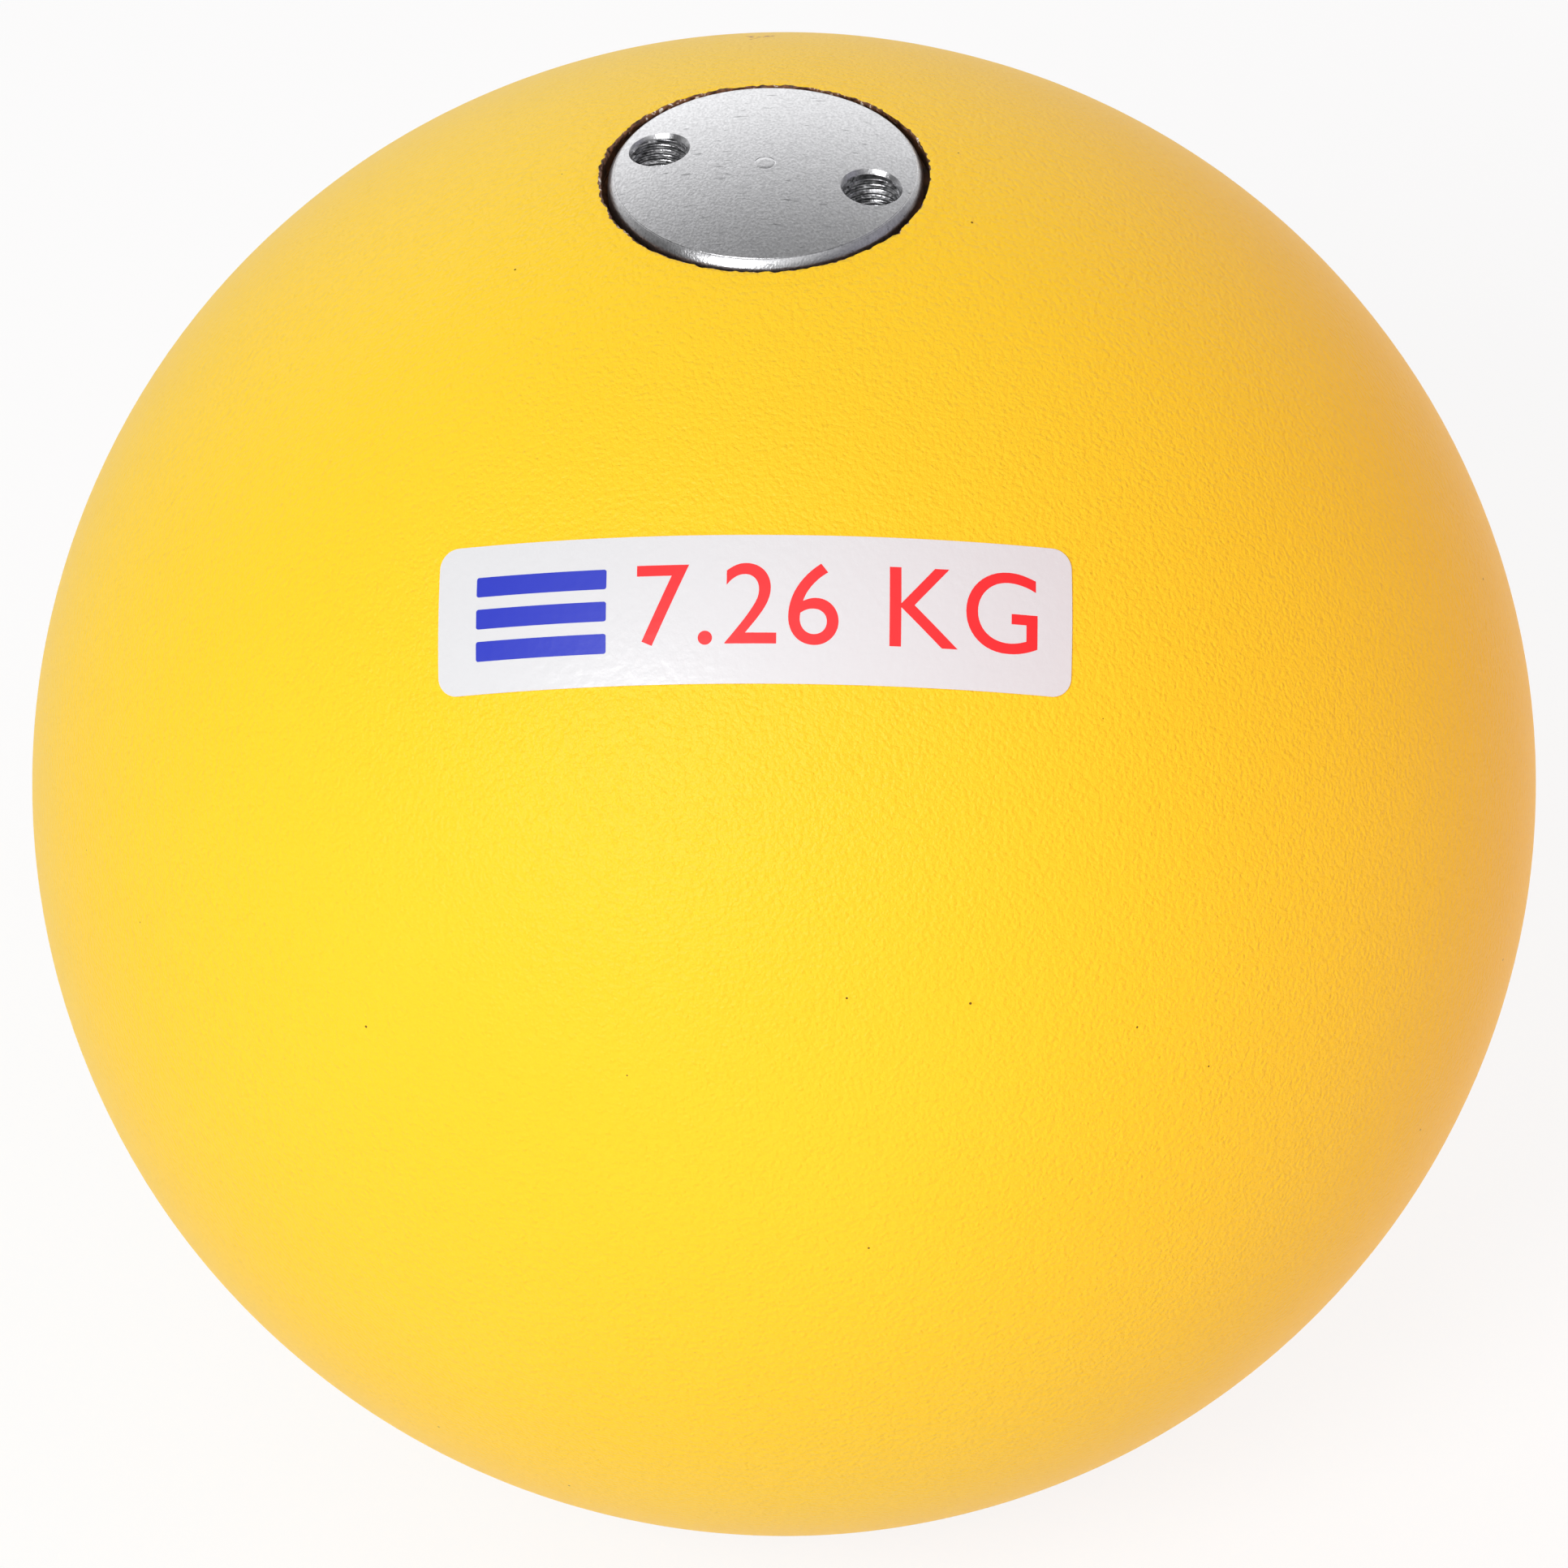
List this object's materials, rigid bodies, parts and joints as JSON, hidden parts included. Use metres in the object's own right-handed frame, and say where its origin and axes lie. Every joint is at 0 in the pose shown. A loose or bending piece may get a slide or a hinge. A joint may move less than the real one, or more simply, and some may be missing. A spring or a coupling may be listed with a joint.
{
  "type": "shot put",
  "caption": "Yellow coated iron shot put: a ball with a flush screwed steel plug over its sealed ballast bore, and a plain label",
  "frame": {"origin": "centre of the ball", "axes": "+Z along the axis of the closing plug and the bore, out of the plug's face; -Y towards the label"},
  "size_m": [0.126, 0.126, 0.126],
  "materials": {
    "cast_iron": "matte",
    "yellow_enamel": "satin",
    "turned_steel": "satin",
    "black_rubber": "matte",
    "cork": "matte",
    "lead": "matte",
    "white_vinyl": "gloss"
  },
  "bodies": {
    "ball": {"shell_body": "cast_iron", "yellow_coat": "yellow_enamel", "label": "white_vinyl", "cork_pad": "cork", "ballast_ball_01": "lead", "ballast_ball_02": "lead", "ballast_ball_03": "lead", "ballast_ball_04": "lead", "ballast_ball_05": "lead", "ballast_ball_06": "lead", "ballast_ball_07": "lead", "ballast_ball_08": "lead", "ballast_ball_09": "lead", "ballast_ball_10": "lead", "ballast_ball_11": "lead", "ballast_ball_12": "lead", "ballast_ball_13": "lead", "ballast_ball_14": "lead", "ballast_ball_15": "lead"},
    "seal": {"plug_o_ring": "black_rubber"},
    "plug": {"closing_plug": "turned_steel"}
  },
  "joints": [
    {"name": "plug_lift", "type": "slide", "parent": "ball", "child": "seal", "axis": [0, 0, 1], "range_m": [0, 0.0109]},
    {"name": "plug_turn", "type": "hinge", "parent": "seal", "child": "plug", "pos_m": [0, 0, 0.05995], "axis": [0, 0, 1], "range_deg": [0, 2140]}
  ],
  "couplings": [
    {"joint": "plug_lift", "follows": "plug_turn", "m_per_rad": 0.00028871}
  ]
}
